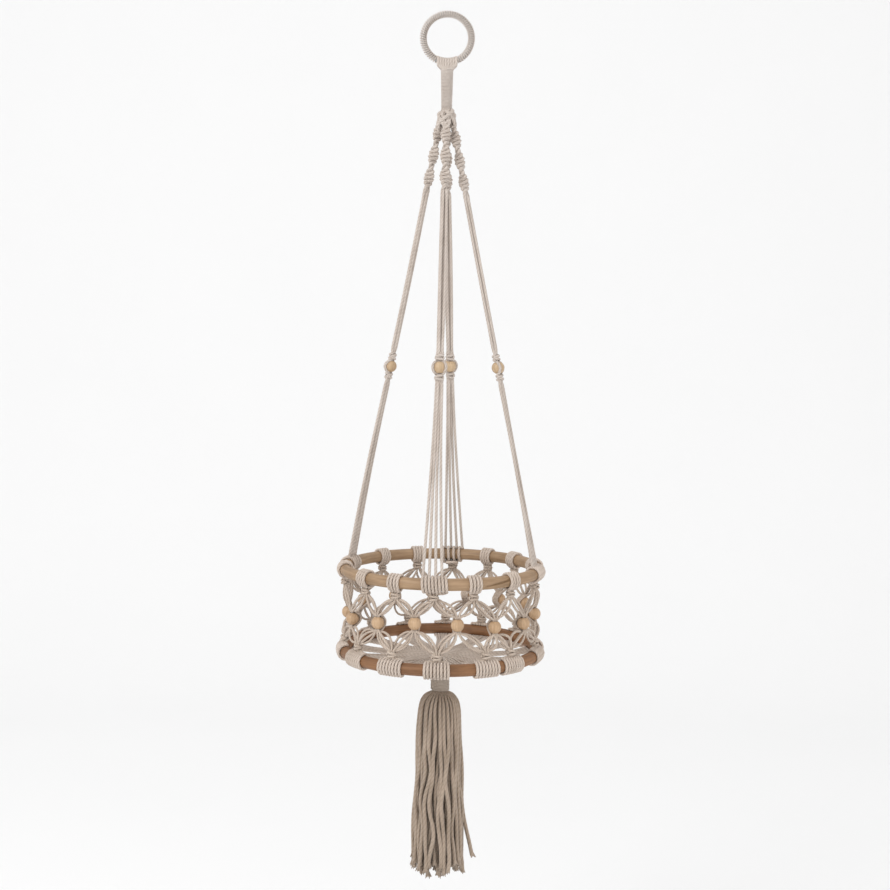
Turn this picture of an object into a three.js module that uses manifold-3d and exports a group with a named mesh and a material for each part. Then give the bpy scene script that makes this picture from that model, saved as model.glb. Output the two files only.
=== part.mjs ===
// Hanging macrame planter: a wrapped metal ring, a bound neck, four knotted cord arms with a wooden
// bead on each, and a basket of two cane hoops joined by a knotted net of fourteen beads, with a tassel.
// Millimetres, +Z up. The origin is the hook seat, the inside top of the hanging ring; -Y is the front.
import * as THREE from 'three';
import { mergeVertices } from 'three/addons/utils/BufferGeometryUtils.js';
import Module from 'manifold-3d';

const wasm = await Module();
wasm.setup();

// Cord and fits.
const cordRadius = 1.8; // three-ply cotton cord
const touchGap = 0.3; // air kept between two pieces that touch
const barPitch = 2 * cordRadius; // one turn of cord round a hoop takes this much of it

// Hanging ring: a steel wire ring wound with thin cord, open at the bottom where the cords fold over.
const ringHoleRadius = 24.7;
const ringWireRadius = 2.5;
const ringWindingWall = 1.4;
const saddleWidth = 24; // the folded cords side by side on the ring

// Neck: the folded cords bound together by a wound cord.
const neckBindLength = 50;
const neckTopRadius = 7.75;
const neckBottomRadius = 6.5;
const neckBindWall = 1.85;
const neckShoulder = 8.4; // from the wire's centre down to the binding

// Crown: the lump where the cords cross and part into the arms, a ball on top so that it can swing.
const crownBallRadius = 7;
const crownWaistRadius = 12;
const crownHeight = 13.4; // from the ball's centre to its underside

// Arms.
const armDrop = 517; // height from the crown to the top of the knots on the hoop
const armStartRadius = 9; // from the axis, at the crown
const sinnetLength = 73; // the spiral-knotted stretch at the top
const sinnetRadius = 6.7;
const sinnetBulges = 3;
const armBeadAt = 0.5527; // how far down the arm its bead sits

// Beads.
const beadRadius = 7.5;
const beadHoleRadius = 3;

// Hoops.
const hoopRadius = 115; // to the middle of the cane
const caneRadius = 6.8;
const hoopSpacing = 96; // centre to centre

// Net: columns round the hoops; the four arms hang from four of the upper knots.
const columns = 14;
const firstColumn = THREE.MathUtils.degToRad(-3); // where column 0 stands, from the front towards +X
const armColumns = [0, 3, 7, 10];
const netWaistRadius = 112; // the beads stand this far from the axis
const beadShare = 0.52; // how far down the net the beads hang
const knotHeight = 8; // a square knot of two cords on two
const knotWidth = 9;
const hitchBars = 8; // turns of cord in the widest hitch
const larksHeadBars = 4.4;
// A hand-tied knot can slide along its hoop only as far as bare cane is left between two hitches. How far
// each column's knots stand from their even places, as shares of that bare length, on each hoop.
const bareCane = (2 * Math.PI * hoopRadius) / columns - hitchBars * barPitch;
const upperDrift = [
  -0.088, -0.352, -0.44, 0, 0.088, 0.176, -0.176, -0.352, -0.616, -0.704, 0, -0.176, 0.528, 0.22,
];
const lowerDrift = [0.088, 0.308, -0.396, 0, 0.132, -0.088, 0.176, 0, -0.132, 0.088, 0, -0.176, -0.088, 0.044];
const beadLift = [4, -1, -3.5, -2.5, 1, -2, 0, 2, -1, 1, -5, -3, 1, 5]; // each bead over their mean level

// Base and tassel.
const baseSag = 5.5; // the level tops of the spokes lie this far under the lower hoop's middle
const spokeThickness = 2 * cordRadius;
const hubThickness = 5.8;
const hubRadius = 34; // inside this the spokes lie level
const hubBallRadius = 8.7; // the head of the bundle, round so that the tassel can swing
const bindTop = 8; // from the ball's centre down to the tassel's binding
const bindLength = 28;
const bindRadius = 11.5;
const skirtShoulder = 18;
const skirtRadius = 27;
const skirtHem = 31;
const skirtLength = 213;

// Heights, each from the one above it.
const ringTubeRadius = ringWireRadius + touchGap + ringWindingWall;
const ringRadius = ringHoleRadius + ringTubeRadius;
const ringCentre = -ringHoleRadius;
const saddleHeight = ringCentre - ringRadius;
const saddleRadius = ringWireRadius + touchGap + 2 * cordRadius - 0.2;
const neckTop = saddleHeight - neckShoulder;
const neckBottom = neckTop - neckBindLength;
const crownCentre = neckBottom - touchGap - crownBallRadius;
const crownBottom = crownCentre - crownHeight;
const armTop = crownBottom - touchGap;
const armBottom = armTop - armDrop;
const armLean = Math.atan2(hoopRadius - armStartRadius, armDrop);
const sinnetTopRadius = 2.4 * cordRadius;
const armStartDip = sinnetTopRadius * Math.sin(armLean) + touchGap; // keeps the leaning top clear
const armEndRise = 2 * cordRadius * Math.sin(armLean); // keeps the leaning ends clear
const hitchRadius = caneRadius + 2 * cordRadius;
const upperHoop = armBottom - touchGap - hitchRadius;
const lowerHoop = upperHoop - hoopSpacing;
const netTop = upperHoop - hitchRadius - touchGap;
const netBottom = lowerHoop + hitchRadius + touchGap;
const beadLevel = upperHoop - beadShare * hoopSpacing;
const hubTop = lowerHoop - baseSag;
const ballCentre = hubTop - hubBallRadius - touchGap / 2;
const bindTopLevel = ballCentre - bindTop;
const bindBottom = bindTopLevel - bindLength;
const skirtPivot = bindBottom - touchGap - hubBallRadius;
const skirtBottom = bindBottom - touchGap - skirtLength;

const evenAngle = (column) => firstColumn + (column * 2 * Math.PI) / columns;
const drifted = (column, drift) => evenAngle(column) + (drift[column % columns] * bareCane) / hoopRadius;
const upperAngle = (column) => drifted(column, upperDrift);
const lowerAngle = (column) => drifted(column, lowerDrift);
// A bead hangs midway between the four knots that its cords run to.
const beadAngle = (column) =>
  (upperAngle(column) + upperAngle(column + 1) + lowerAngle(column) + lowerAngle(column + 1)) / 4;
const knotNumber = (index) => String(index + 1).padStart(2, '0');

const cotton = { color: 0xc9bba9, roughness: 0.95, metalness: 0 };
const shadedCotton = { color: 0xb3a391, roughness: 0.95, metalness: 0 };
const steel = { color: 0x9a9a98, roughness: 0.4, metalness: 1 };
const paleCane = { color: 0xa98a68, roughness: 0.6, metalness: 0 };
const darkCane = { color: 0x8f6a4a, roughness: 0.6, metalness: 0 };
const beadWood = { color: 0xc9a873, roughness: 0.5, metalness: 0 };

const planter = new THREE.Group();

// Adds one named piece, in its own material, to the planter.
function addPiece(name, geometry, look) {
  const piece = new THREE.Mesh(geometry, new THREE.MeshStandardMaterial(look));
  piece.name = name;
  planter.add(piece);
  return piece;
}

// Turns a closed geometry into a manifold solid.
function solid(geometry) {
  const bare = geometry.clone();
  bare.deleteAttribute('normal');
  bare.deleteAttribute('uv');
  const merged = mergeVertices(bare, 1e-4);
  const vertProperties = new Float32Array(merged.attributes.position.array);
  const triVerts = new Uint32Array(merged.index.array);
  return new wasm.Manifold(new wasm.Mesh({ numProp: 3, vertProperties, triVerts }));
}

// Turns a manifold solid back into a geometry.
function geometryOf(manifold) {
  const made = manifold.getMesh();
  const geometry = new THREE.BufferGeometry();
  geometry.setAttribute('position', new THREE.BufferAttribute(made.vertProperties, 3));
  geometry.setIndex(new THREE.BufferAttribute(made.triVerts, 1));
  return geometry;
}

// Joins several geometries into one solid geometry.
function join(geometries) {
  return geometryOf(geometries.map(solid).reduce((whole, next) => whole.add(next)));
}

// The place at an angle from the front, a distance from the axis and a height.
function place(angle, radius, height) {
  return new THREE.Vector3(radius * Math.sin(angle), -radius * Math.cos(angle), height);
}

// A straight round rod between two points.
function rod(from, to, radius, sides = 6) {
  const along = to.clone().sub(from);
  const middle = from.clone().add(to).multiplyScalar(0.5);
  const turn = new THREE.Quaternion().setFromUnitVectors(
    new THREE.Vector3(0, 1, 0),
    along.clone().normalize(),
  );
  return new THREE.CylinderGeometry(radius, radius, along.length(), sides)
    .applyQuaternion(turn)
    .translate(middle.x, middle.y, middle.z);
}

// A solid turned about Z from a profile of [radius, height] points that runs downwards.
function turned(profile, segments) {
  const points = profile.map(([radius, height]) => new THREE.Vector2(radius, height));
  return new THREE.LatheGeometry(points.reverse(), segments).rotateX(Math.PI / 2);
}

// A square knot: a flattened six-sided barrel centred on the origin.
function knot(height) {
  const waist = knotWidth / 2;
  const profile = [
    [0, height / 2],
    [waist, height * 0.3],
    [waist, -height * 0.3],
    [0, -height / 2],
  ];
  return turned(profile, 6).scale(1, 0.7, 1);
}

// The two cords through a bead's hole, as one rod, about the bead's centre.
function fillerCords(reach) {
  const top = new THREE.Vector3(0, 0, reach);
  return rod(top, top.clone().negate(), beadHoleRadius - touchGap);
}

// The two cords that pass outside a bead, one round each side of it.
function sideCords() {
  const bendRadius = beadRadius + 2 * touchGap + cordRadius;
  const reach = Math.acos(knotWidth / 4 / bendRadius); // each end goes into a knot, off its middle
  const section = new THREE.Shape().absarc(0, 0, cordRadius, 0, 2 * Math.PI);
  const side = (sign) => {
    const bend = [];
    for (let step = -2; step <= 2; step += 1) {
      const turn = (step / 2) * reach;
      bend.push(new THREE.Vector3(sign * bendRadius * Math.cos(turn), 0, bendRadius * Math.sin(turn)));
    }
    const extrudePath = new THREE.CatmullRomCurve3(bend);
    return new THREE.ExtrudeGeometry(section, { steps: 4, curveSegments: 2, extrudePath });
  };
  return [side(1), side(-1)];
}

// A round bead with a hole along Z, centred on the origin.
function bead() {
  const halfHole = Math.sqrt(beadRadius ** 2 - beadHoleRadius ** 2);
  const mouth = Math.atan2(beadHoleRadius, halfHole);
  const profile = [];
  const steps = 5;
  for (let step = 0; step <= steps; step += 1) {
    const turn = mouth + ((Math.PI - 2 * mouth) * step) / steps;
    profile.push([beadRadius * Math.sin(turn), beadRadius * Math.cos(turn)]);
  }
  profile.push(profile[0]);
  return turned(profile, 9);
}

// The wire ring, in the plane of the hook and the arms' crossing.
function ringWire(radius) {
  return new THREE.TorusGeometry(ringRadius, radius, 8, 28)
    .rotateX(Math.PI / 2)
    .translate(0, 0, ringCentre);
}

function addRing() {
  addPiece('ring_wire', ringWire(ringWireRadius), steel);
  const winding = solid(ringWire(ringTubeRadius)).subtract(solid(ringWire(ringWireRadius + touchGap)));
  const opening = new THREE.BoxGeometry(saddleWidth + 2 * touchGap, 40, ringRadius)
    .translate(0, 0, ringCentre - ringRadius);
  addPiece('ring_winding', geometryOf(winding.subtract(solid(opening))), cotton);
}

// The way through the folded cords for the wire. It widens from the middle by as much as the wire
// bends away from a straight line, so the cords can swing about that line.
function wireTunnel() {
  const profile = [[0, saddleWidth / 2 + 1]];
  const steps = 3;
  const sides = 24;
  for (let step = steps; step >= -steps; step -= 1) {
    const along = ((saddleWidth / 2 + 1) * step) / steps;
    const wireTop = ringRadius - Math.sqrt((ringRadius - ringWireRadius) ** 2 - along ** 2);
    profile.push([(wireTop + touchGap) / Math.cos(Math.PI / sides), along]);
  }
  profile.push([0, -saddleWidth / 2 - 1]);
  return turned(profile, sides).rotateY(Math.PI / 2).translate(0, 0, saddleHeight);
}

function addNeck() {
  const bundleTop = neckTopRadius - neckBindWall - touchGap;
  const bundleBottom = neckBottomRadius - neckBindWall - touchGap;
  const saddle = new THREE.CylinderGeometry(saddleRadius, saddleRadius, saddleWidth, 16)
    .rotateZ(Math.PI / 2)
    .translate(0, 0, saddleHeight);
  const slope = new THREE.Shape()
    .moveTo(-saddleWidth / 2, saddleHeight)
    .lineTo(-bundleTop, neckTop)
    .lineTo(bundleTop, neckTop)
    .lineTo(saddleWidth / 2, saddleHeight);
  const shoulder = new THREE.ExtrudeGeometry(slope, { depth: 2 * bundleTop, bevelEnabled: false })
    .rotateX(Math.PI / 2)
    .translate(0, bundleTop, 0);
  const bundle = turned(
    [
      [0, neckTop + 2],
      [bundleTop, neckTop + 2],
      [bundleTop, neckTop],
      [bundleBottom, neckBottom],
      [0, neckBottom],
    ],
    12,
  );
  const cords = [saddle, shoulder, bundle].map(solid).reduce((whole, next) => whole.add(next));
  addPiece('neck_cords', geometryOf(cords.subtract(solid(wireTunnel()))), cotton);
  const binding = [
    [neckTopRadius, neckTop],
    [neckBottomRadius, neckBottom],
    [bundleBottom + touchGap, neckBottom],
    [bundleTop + touchGap, neckTop],
    [neckTopRadius, neckTop],
  ];
  addPiece('neck_binding', turned(binding, 12), cotton);
}

// Points of a quarter or more of a ball, from its top down.
function ballCap(centre, radius, upTo, steps) {
  const points = [];
  for (let step = 0; step <= steps; step += 1) {
    const turn = (upTo * step) / steps;
    points.push([radius * Math.sin(turn), centre + radius * Math.cos(turn)]);
  }
  return points;
}

function addCrown() {
  const profile = [
    ...ballCap(crownCentre, crownBallRadius, Math.PI / 2, 4),
    [crownWaistRadius, crownCentre - crownHeight * 0.7],
    [crownWaistRadius - 1, crownBottom],
    [0, crownBottom],
  ];
  addPiece('crown', turned(profile, 16), cotton);
}

// The spiral-knotted stretch, down from the origin.
function sinnet() {
  const profile = [
    [0, 0],
    [sinnetTopRadius, 0],
  ];
  const bulge = sinnetLength / sinnetBulges;
  for (let index = 0; index < sinnetBulges; index += 1) {
    profile.push([sinnetRadius * (index ? 1 : 0.86), -(index + 0.5) * bulge]);
    profile.push([cordRadius * 2.2, -(index + 1) * bulge]);
  }
  profile.push([0, -sinnetLength]);
  return turned(profile, 8);
}

// An arm's four cords between two depths below the origin, this far apart at each end.
function strands(from, to, fromSpread, toSpread) {
  return [-1.5, -0.5, 0.5, 1.5].map((across, index) => {
    const depth = (index % 2 ? 1 : -1) * cordRadius * 0.63;
    return rod(
      new THREE.Vector3(across * fromSpread, depth, -from),
      new THREE.Vector3(across * toSpread, depth, -to),
      cordRadius,
    );
  });
}

// Stands a piece made downwards from the origin on an arm, from its crown end to its hoop end.
function armLine(index) {
  const column = armColumns[index];
  const start = place(firstColumn + (index * Math.PI) / 2, armStartRadius, armTop - armStartDip);
  const end = place(upperAngle(column), hoopRadius - 1, armBottom + armEndRise);
  return { start, end, length: start.distanceTo(end), facing: upperAngle(column) };
}

function layOnArm(geometry, index) {
  const { start, end, facing } = armLine(index);
  const down = end.clone().sub(start).normalize();
  const lean = new THREE.Quaternion().setFromUnitVectors(new THREE.Vector3(0, 0, -1), down);
  return geometry
    .rotateZ(facing)
    .applyQuaternion(lean)
    .translate(start.x, start.y, start.z);
}

function addArm(index) {
  const { length } = armLine(index);
  const beadAt = length * armBeadAt;
  const knotReach = beadRadius + touchGap + knotHeight / 2;
  const closeSpread = cordRadius * 1.15;
  const hitchSpread = 2 * barPitch;
  const pieces = [
    sinnet(),
    ...strands(sinnetLength - 2, beadAt - knotReach, closeSpread, closeSpread),
    knot(knotHeight).translate(0, 0, -beadAt + knotReach),
    ...[fillerCords(knotReach), ...sideCords()].map((cord) => cord.translate(0, 0, -beadAt)),
    knot(knotHeight).translate(0, 0, -beadAt - knotReach),
    ...strands(beadAt + knotReach, length, closeSpread, hitchSpread),
  ];
  addPiece(`arm_${index + 1}`, layOnArm(join(pieces), index), cotton);
  addPiece(`arm_bead_${index + 1}`, layOnArm(bead().translate(0, 0, -beadAt), index), beadWood);
}

function addHoop(name, height, look) {
  const hoop = new THREE.TorusGeometry(hoopRadius, caneRadius, 10, 42).translate(0, 0, height);
  addPiece(name, hoop, look);
}

// Cord wound side by side on a hoop, as a sleeve standing at the front of it.
function hitchSleeve(bars) {
  const width = bars * barPitch;
  const bow = width ** 2 / (8 * hoopRadius); // how far the cane bends away over the sleeve's width
  const sides = 10;
  const inner = (caneRadius + touchGap + bow / 2) / Math.cos(Math.PI / sides);
  const profile = [
    [hitchRadius, width / 2],
    [hitchRadius, -width / 2],
    [inner, -width / 2],
    [inner, width / 2],
    [hitchRadius, width / 2],
  ];
  return turned(profile, sides).rotateY(Math.PI / 2).translate(0, -hoopRadius + bow / 2, 0);
}

function addUpperKnots() {
  let larksHeads = 0;
  for (let column = 0; column < columns; column += 1) {
    const armIndex = armColumns.indexOf(column);
    const bars = armIndex < 0 ? larksHeadBars : hitchBars;
    const name = armIndex < 0 ? `larks_head_${knotNumber(larksHeads++)}` : `arm_hitch_${armIndex + 1}`;
    const sleeve = hitchSleeve(bars).rotateZ(upperAngle(column)).translate(0, 0, upperHoop);
    addPiece(name, sleeve, cotton);
  }
}

// One spoke: the hitch's own cords run in from the lower hoop, level again over the hub.
function spoke() {
  const halfSlice = Math.PI / columns;
  const room = (radius) => radius * Math.tan(halfSlice) - touchGap;
  const innerRadius = hubBallRadius + touchGap;
  const outerRadius = hoopRadius - caneRadius - 3 * touchGap;
  const outerWidth = 2 * barPitch;
  const level = new THREE.Shape()
    .moveTo(room(innerRadius), -innerRadius)
    .lineTo(-room(innerRadius), -innerRadius)
    .lineTo(-room(hubRadius), -hubRadius)
    .lineTo(room(hubRadius), -hubRadius);
  const hub = new THREE.ExtrudeGeometry(level, { depth: hubThickness, bevelEnabled: false })
    .translate(0, 0, hubTop - hubThickness);
  const sloping = new THREE.Shape()
    .moveTo(room(hubRadius), 0)
    .lineTo(-room(hubRadius), 0)
    .lineTo(-outerWidth, -(outerRadius - hubRadius + 1))
    .lineTo(outerWidth, -(outerRadius - hubRadius + 1));
  const slope = Math.atan2(lowerHoop - hubTop + spokeThickness / 2, outerRadius - hubRadius);
  const run = new THREE.ExtrudeGeometry(sloping, { depth: spokeThickness, bevelEnabled: false })
    .translate(0, 0, -spokeThickness)
    .rotateX(-slope)
    .translate(0, -hubRadius + 1, hubTop);
  return [hub, run];
}

function addLowerKnots() {
  for (let column = 0; column < columns; column += 1) {
    const sleeve = hitchSleeve(hitchBars).rotateZ(lowerAngle(column)).translate(0, 0, lowerHoop);
    const cords = spoke().map((piece) => piece.rotateZ(evenAngle(column)));
    addPiece(`lower_hitch_${knotNumber(column)}`, join([sleeve, ...cords]), cotton);
  }
}

// Two cords side by side, as one flat bar, between two places on the net.
function leg(from, to) {
  const along = to.clone().sub(from);
  const middle = from.clone().add(to).multiplyScalar(0.5);
  const out = new THREE.Vector3(middle.x, middle.y, 0).normalize();
  const across = along.clone().cross(out).normalize();
  const facing = new THREE.Matrix4().makeBasis(across, along.normalize(), across.clone().cross(along));
  return new THREE.BoxGeometry(3.6 * cordRadius, from.distanceTo(to), 1.8 * cordRadius)
    .applyMatrix4(facing.setPosition(middle));
}

function addNet() {
  const pieces = [];
  const knotReach = beadRadius + touchGap + knotHeight / 2;
  const ringOf = (geometry, angle, radius, height) =>
    geometry.translate(0, -radius, height).rotateZ(angle);
  for (let column = 0; column < columns; column += 1) {
    const middle = beadAngle(column);
    const level = beadLevel + beadLift[column];
    const topKnot = netTop - knotHeight / 2;
    const bottomKnot = netBottom + knotHeight / 2;
    pieces.push(ringOf(knot(knotHeight), upperAngle(column), hoopRadius, topKnot));
    pieces.push(ringOf(knot(knotHeight), lowerAngle(column), hoopRadius, bottomKnot));
    pieces.push(ringOf(knot(knotHeight), middle, netWaistRadius, level + knotReach));
    pieces.push(ringOf(knot(knotHeight), middle, netWaistRadius, level - knotReach));
    pieces.push(ringOf(fillerCords(knotReach), middle, netWaistRadius, level));
    const edge = (0.3 * knotWidth) / netWaistRadius; // the cords enter a knot at its sides
    for (const [side, turn] of [[column, 1], [column + 1, -1]]) {
      const top = place(upperAngle(side) + turn * edge, hoopRadius, topKnot - 2);
      const bottom = place(lowerAngle(side) + turn * edge, hoopRadius, bottomKnot + 2);
      pieces.push(leg(top, place(middle - turn * edge, netWaistRadius, level + knotReach)));
      pieces.push(leg(bottom, place(middle - turn * edge, netWaistRadius, level - knotReach)));
    }
    const ball = ringOf(bead(), middle, netWaistRadius, level);
    addPiece(`net_bead_${knotNumber(column)}`, ball, beadWood);
  }
  addPiece('net', join(pieces), cotton);
}

function addTassel() {
  const head = [
    ...ballCap(ballCentre, hubBallRadius, THREE.MathUtils.degToRad(100), 5),
    [hubBallRadius - 0.5, bindTopLevel],
    [bindRadius, bindTopLevel],
    [bindRadius, bindBottom],
    [0, bindBottom],
  ];
  addPiece('tassel_binding', turned(head, 14), shadedCotton);
  const skirt = [
    ...ballCap(skirtPivot, hubBallRadius, Math.PI / 2, 4),
    [skirtShoulder, skirtPivot],
    [skirtRadius - 2.4, skirtPivot - 5],
    [skirtRadius, skirtPivot - 50],
    [skirtHem, skirtBottom],
    [0, skirtBottom],
  ];
  addPiece('tassel', turned(skirt, 16), shadedCotton);
}

addRing();
addNeck();
addCrown();
armColumns.forEach((column, index) => addArm(index));
addHoop('upper_hoop', upperHoop, paleCane);
addHoop('lower_hoop', lowerHoop, darkCane);
addUpperKnots();
addLowerKnots();
addNet();
addTassel();

export default planter;
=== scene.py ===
# Hanging macrame planter: three-ply cotton cord on a wound metal ring, four knotted arms with a wooden bead
# each, and a basket of two cane hoops with a knotted, beaded net between them and a tassel below.
import math
import bmesh
import bpy
import numpy as np
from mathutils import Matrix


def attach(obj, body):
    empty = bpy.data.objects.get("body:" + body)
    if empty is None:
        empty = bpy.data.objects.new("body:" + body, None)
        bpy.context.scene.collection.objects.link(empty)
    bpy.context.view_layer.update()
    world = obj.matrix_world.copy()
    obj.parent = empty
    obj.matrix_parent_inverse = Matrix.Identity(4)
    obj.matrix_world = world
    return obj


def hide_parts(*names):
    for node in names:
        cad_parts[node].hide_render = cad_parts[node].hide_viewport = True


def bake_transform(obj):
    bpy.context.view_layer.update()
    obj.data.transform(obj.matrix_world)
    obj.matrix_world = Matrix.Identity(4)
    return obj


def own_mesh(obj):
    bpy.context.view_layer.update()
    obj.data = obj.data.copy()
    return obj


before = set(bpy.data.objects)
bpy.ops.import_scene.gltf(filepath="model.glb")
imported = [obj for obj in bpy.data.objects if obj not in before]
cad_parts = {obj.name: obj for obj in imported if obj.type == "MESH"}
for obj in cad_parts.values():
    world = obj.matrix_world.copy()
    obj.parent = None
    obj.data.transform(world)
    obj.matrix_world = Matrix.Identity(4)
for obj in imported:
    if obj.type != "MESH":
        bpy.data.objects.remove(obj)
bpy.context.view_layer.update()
MM = 0.001
rng = np.random.default_rng(14)

# --- Camera, floor and light ---------------------------------------------------------------------
# A level camera in front of the planter, a pale floor that curves up into a pale wall, and soft light
# from a pale surround, a large panel up at the left and a weaker one low at the right.
CAMERA_DISTANCE, CAMERA_HEIGHT = 1.65, -0.393
CAMERA_ACROSS, CAMERA_ROLL = 0.0013, math.radians(-0.66)
VIEW_WIDTH = 1.068  # how much the view takes in from side to side, where the planter hangs
VIEW_DROP = 0.12  # how far below the camera the middle of the view lies there
SENSOR_WIDTH = 36
camera_data = bpy.data.cameras.new("camera")
camera_data.sensor_width = SENSOR_WIDTH
camera_data.lens = SENSOR_WIDTH * CAMERA_DISTANCE / VIEW_WIDTH
camera_data.shift_y = -VIEW_DROP / VIEW_WIDTH
camera = bpy.data.objects.new("camera", camera_data)
camera.location = (CAMERA_ACROSS, -CAMERA_DISTANCE, CAMERA_HEIGHT)
camera.rotation_euler = (math.radians(90), CAMERA_ROLL, 0)
bpy.context.collection.objects.link(camera)
bpy.context.scene.camera = camera


def set_inputs(node, **values):
    """Sets a node's named sockets; an underscore in a name stands for a space."""
    for name, value in values.items():
        node.inputs[name.replace("_", " ")].default_value = value


def grid_mesh(name, points, closed_across, uv=None, caps=False, grain=None):
    """A mesh from grids of points, shape (pieces, along, across, 3): four neighbours on a grid make a face.
    caps closes both ends of a tube with fans about their middles. uv gives the way along a cord at each
    point, in metres; grain gives each point its place in the wood."""
    count, along, across = points.shape[:3]
    number = np.arange(count * along * across).reshape(count, along, across)
    if closed_across:
        here, beside = number, np.roll(number, -1, axis=2)
        column, next_column = np.arange(across), np.arange(1, across + 1)
    else:
        here, beside = number[:, :, :-1], number[:, :, 1:]
        column, next_column = np.arange(across - 1), np.arange(1, across)
    quads = np.stack([here[:, :-1], beside[:, :-1], beside[:, 1:], here[:, 1:]], -1).reshape(-1, 4)
    vertices = [points.reshape(-1, 3)]
    loops, sizes = [quads.ravel()], [np.full(len(quads), 4)]
    if caps:
        total = count * along * across
        for end, row in enumerate((0, along - 1)):
            middle = total + end * count + np.arange(count)
            vertices.append(points[:, row].mean(axis=1))
            ring, after = number[:, row], np.roll(number[:, row], -1, axis=1)
            hub = np.broadcast_to(middle[:, None], ring.shape)
            fan = np.stack([hub, after, ring] if end == 0 else [hub, ring, after], -1).reshape(-1, 3)
            loops.append(fan.ravel())
            sizes.append(np.full(len(fan), 3))
    mesh = bpy.data.meshes.new(name)
    vertices, loops, sizes = np.concatenate(vertices), np.concatenate(loops), np.concatenate(sizes)
    mesh.vertices.add(len(vertices))
    mesh.vertices.foreach_set("co", vertices.astype(np.float32).ravel())
    mesh.loops.add(len(loops))
    mesh.loops.foreach_set("vertex_index", loops.astype(np.int32))
    mesh.polygons.add(len(sizes))
    starts = np.concatenate([[0], np.cumsum(sizes)[:-1]])
    mesh.polygons.foreach_set("loop_start", starts.astype(np.int32))
    mesh.polygons.foreach_set("use_smooth", np.ones(len(sizes), bool))
    mesh.update(calc_edges=True)
    if uv is not None:
        length = uv[..., 0]
        corner_u = np.stack([length[:, :-1], length[:, :-1], length[:, 1:], length[:, 1:]], -1)
        corner_u = np.repeat(corner_u[:, :, None, :], len(column), axis=2)
        low, high = column / across, next_column / across
        corner_v = np.broadcast_to(np.stack([low, high, high, low], -1), corner_u.shape)
        corners = [np.stack([corner_u, corner_v], -1).reshape(-1, 2)]
        if caps:
            for row in (0, -1):
                end_u = np.broadcast_to(length[:, row, None, None], (count, across, 3))
                end_v = np.full(end_u.shape, 0.5)
                corners.append(np.stack([end_u, end_v], -1).reshape(-1, 2))
        layer = mesh.uv_layers.new(name="cord")
        layer.data.foreach_set("uv", np.concatenate(corners).astype(np.float32).ravel())
    if grain is not None:
        layer = mesh.attributes.new("grain", "FLOAT_VECTOR", "POINT")
        layer.data.foreach_set("vector", grain.astype(np.float32).ravel())
    piece = bpy.data.objects.new(name, mesh)
    bpy.context.collection.objects.link(piece)
    return piece


def new_material(name, **values):
    """A material whose shader has the given values: the material, its nodes, its links and its shader."""
    material = bpy.data.materials.new(name)
    material.use_nodes = True
    shader = material.node_tree.nodes["Principled BSDF"]
    set_inputs(shader, **values)
    return material, material.node_tree.nodes, material.node_tree.links, shader


def mix_colours(nodes, links, factor, light, dark, shader):
    """Colours a shader from light, where the factor is 0, to dark, where it is 1."""
    colour = nodes.new("ShaderNodeMix")
    colour.data_type = "RGBA"
    first, second = (socket for socket in colour.inputs if socket.type == "RGBA")
    first.default_value, second.default_value = (*light, 1), (*dark, 1)
    mixed = next(socket for socket in colour.outputs if socket.type == "RGBA")
    links.new(factor, colour.inputs["Factor"])
    links.new(mixed, shader.inputs["Base Color"])


def mottled(name, light, dark, scale, detail, **values):
    """A material between two tones, mottled by noise on the object's own coordinates."""
    material, nodes, links, shader = new_material(name, **values)
    place, noise = nodes.new("ShaderNodeTexCoord"), nodes.new("ShaderNodeTexNoise")
    set_inputs(noise, Scale=scale, Detail=detail)
    links.new(place.outputs["Object"], noise.inputs["Vector"])
    mix_colours(nodes, links, noise.outputs["Fac"], light, dark, shader)
    return material


# The floor runs back to a wall through a quarter round; its profile is carried across the whole width.
FLOOR_LEVEL, FLOOR_FRONT, WALL_DISTANCE, WALL_TOP, COVE = -1.30, -4.0, 2.6, 4.0, 0.9
BACKDROP_HALF_WIDTH = 6
PAPER = 0.93
round_cove = np.linspace(0, math.pi / 2, 13)
profile = np.concatenate([
    [[FLOOR_FRONT, FLOOR_LEVEL]],
    np.stack([WALL_DISTANCE - COVE + COVE * np.sin(round_cove),
              FLOOR_LEVEL + COVE * (1 - np.cos(round_cove))], -1),
    [[WALL_DISTANCE, WALL_TOP]],
])
sides = np.linspace(-BACKDROP_HALF_WIDTH, BACKDROP_HALF_WIDTH, 7)
backdrop_points = np.empty((1, len(profile), len(sides), 3))
backdrop_points[0, :, :, 0] = sides[None, :]
backdrop_points[0, :, :, 1:] = profile[:, None, :]
backdrop = grid_mesh("floor_and_wall", backdrop_points[:, :, ::-1], closed_across=False)
backdrop.data.materials.append(mottled("pale_paper", (PAPER,) * 3, (0.985 * PAPER,) * 3, 3.0, 2.0,
                                       Roughness=0.9))

world = bpy.data.worlds.new("surround")
world.use_nodes = True
set_inputs(world.node_tree.nodes["Background"], Color=(1, 1, 1, 1), Strength=0.92)
bpy.context.scene.world = world
bpy.context.scene.view_settings.view_transform = "Standard"
PANEL_SIZE = 1.2
LIT_PLACE = np.array([0, 0, -0.5])  # both panels face the middle of the planter
for lamp_name, place, power in (("left_panel", (-1.5, -1.7, 0.9), 24), ("right_panel", (1.9, -1.2, -0.5), 6)):
    lamp = bpy.data.lights.new(lamp_name, "AREA")
    lamp.energy, lamp.size = power, PANEL_SIZE
    panel = bpy.data.objects.new(lamp_name, lamp)
    panel.location = place
    aim = LIT_PLACE - np.array(place)
    panel.rotation_euler = (math.atan2(math.hypot(aim[0], aim[1]), -aim[2]), 0, math.atan2(-aim[0], aim[1]))
    bpy.context.collection.objects.link(panel)

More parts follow.
